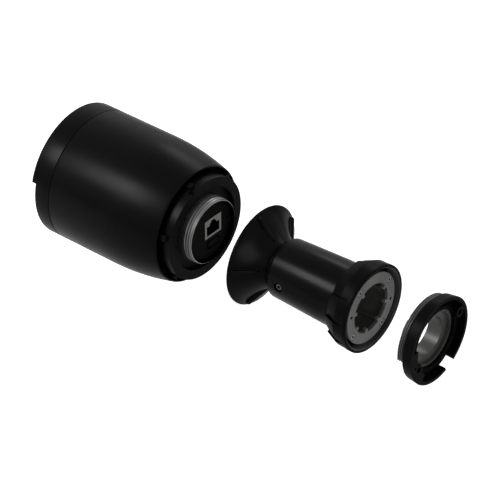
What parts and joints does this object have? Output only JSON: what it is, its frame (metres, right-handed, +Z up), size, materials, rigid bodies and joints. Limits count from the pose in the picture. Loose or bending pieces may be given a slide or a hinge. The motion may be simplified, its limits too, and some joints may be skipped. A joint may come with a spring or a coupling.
{
  "type": "tube security camera",
  "caption": "Black tube-shaped security camera drawn apart from its swivel wall arm: flared grip cup, arm tube with a screw collar, and round wall base.",
  "frame": {"origin": "centre of the wall base's back face, on the wall", "axes": "+X points into the wall along the tube's axis, the camera looks along -X, +Z is up"},
  "size_m": [0.2845, 0.0884, 0.0884],
  "materials": {
    "satin_black_cast": "satin black powder coat on cast aluminium",
    "matte_black_moulding": "fine-grained black moulding",
    "grey_cast_insert": "bead-blasted grey casting",
    "light_grey_plate": "sintered light grey plate",
    "silver_ring": "turned silver thread",
    "dark_screw_steel": "dark oxide screws",
    "bright_steel": "bright steel",
    "nickel_shield": "bright nickel sheet",
    "nylon_seat": "natural nylon",
    "black_rubber": "soft black rubber",
    "gold_contact": "gold-plated contacts",
    "dark_window": "dark tinted window",
    "lens_glass": "coated lens",
    "board_green": "coated circuit board",
    "chip_black": "moulded chip case",
    "led_clear": "clear lamp resin",
    "chassis_metal": "plain cast aluminium"
  },
  "bodies": {
    "base": {"base_ring": "satin_black_cast", "base_insert": "grey_cast_insert"},
    "arm": {"arm_tube": "satin_black_cast", "end_plate": "light_grey_plate", "plate_screws": "bright_steel", "set_screw": "dark_screw_steel", "seat_spring": "bright_steel", "seat_nut": "grey_cast_insert"},
    "collar": {"collar_ring": "matte_black_moulding"},
    "swivel_seat": {"seat_ring": "nylon_seat"},
    "swivel": {"swivel_ball": "grey_cast_insert", "stem_flange": "bright_steel"},
    "bell": {"bell_cup": "satin_black_cast", "bell_gasket": "black_rubber"},
    "reset": {"reset_button": "black_rubber"},
    "camera": {"outer_shell": "satin_black_cast", "front_hood": "satin_black_cast", "front_glass": "dark_window", "glass_gasket": "black_rubber", "rear_cover": "satin_black_cast", "cover_gasket": "black_rubber", "mount_ring": "silver_ring", "port_plate": "matte_black_moulding", "port_shield": "nickel_shield", "port_insert": "chip_black", "port_contacts": "gold_contact", "port_board": "board_green", "reset_switch": "chip_black", "status_light": "led_clear", "inner_chassis": "chassis_metal", "cover_screws": "bright_steel", "main_board": "board_green", "processor": "chip_black", "board_standoffs": "bright_steel", "sensor_board": "board_green", "image_sensor": "chip_black", "sensor_standoffs": "bright_steel", "board_screws": "bright_steel", "lens_mount": "chip_black", "lens_barrel": "matte_black_moulding", "lens_front_element": "lens_glass", "lens_rear_element": "lens_glass", "led_board": "board_green", "infrared_leds": "led_clear", "light_baffle": "matte_black_moulding"}
  },
  "joints": [
    {"name": "arm_release", "type": "slide", "parent": "base", "child": "arm", "axis": [1, 0, 0], "range_m": [0, 0.0381]},
    {"name": "collar_turn", "type": "hinge", "parent": "arm", "child": "collar", "pos_m": [-0.056, 0, 0], "axis": [1, 0, 0], "continuous": true},
    {"name": "pan", "type": "hinge", "parent": "arm", "child": "swivel_seat", "pos_m": [-0.1104, 0, 0], "axis": [1, 0, 0], "range_deg": [-180, 180]},
    {"name": "tilt", "type": "hinge", "parent": "swivel_seat", "child": "swivel", "pos_m": [-0.1104, 0, 0], "axis": [0, 1, 0], "range_deg": [-12, 12]},
    {"name": "bell_turn", "type": "hinge", "parent": "swivel", "child": "bell", "pos_m": [-0.128, 0, 0], "axis": [1, 0, 0], "continuous": true},
    {"name": "camera_release", "type": "slide", "parent": "swivel", "child": "camera", "axis": [1, 0, 0], "range_m": [0, 0.0423]},
    {"name": "reset_press", "type": "slide", "parent": "camera", "child": "reset", "axis": [-1, 0, 0], "range_m": [0, 0.0006], "stiffness_N_per_m": 900}
  ]
}
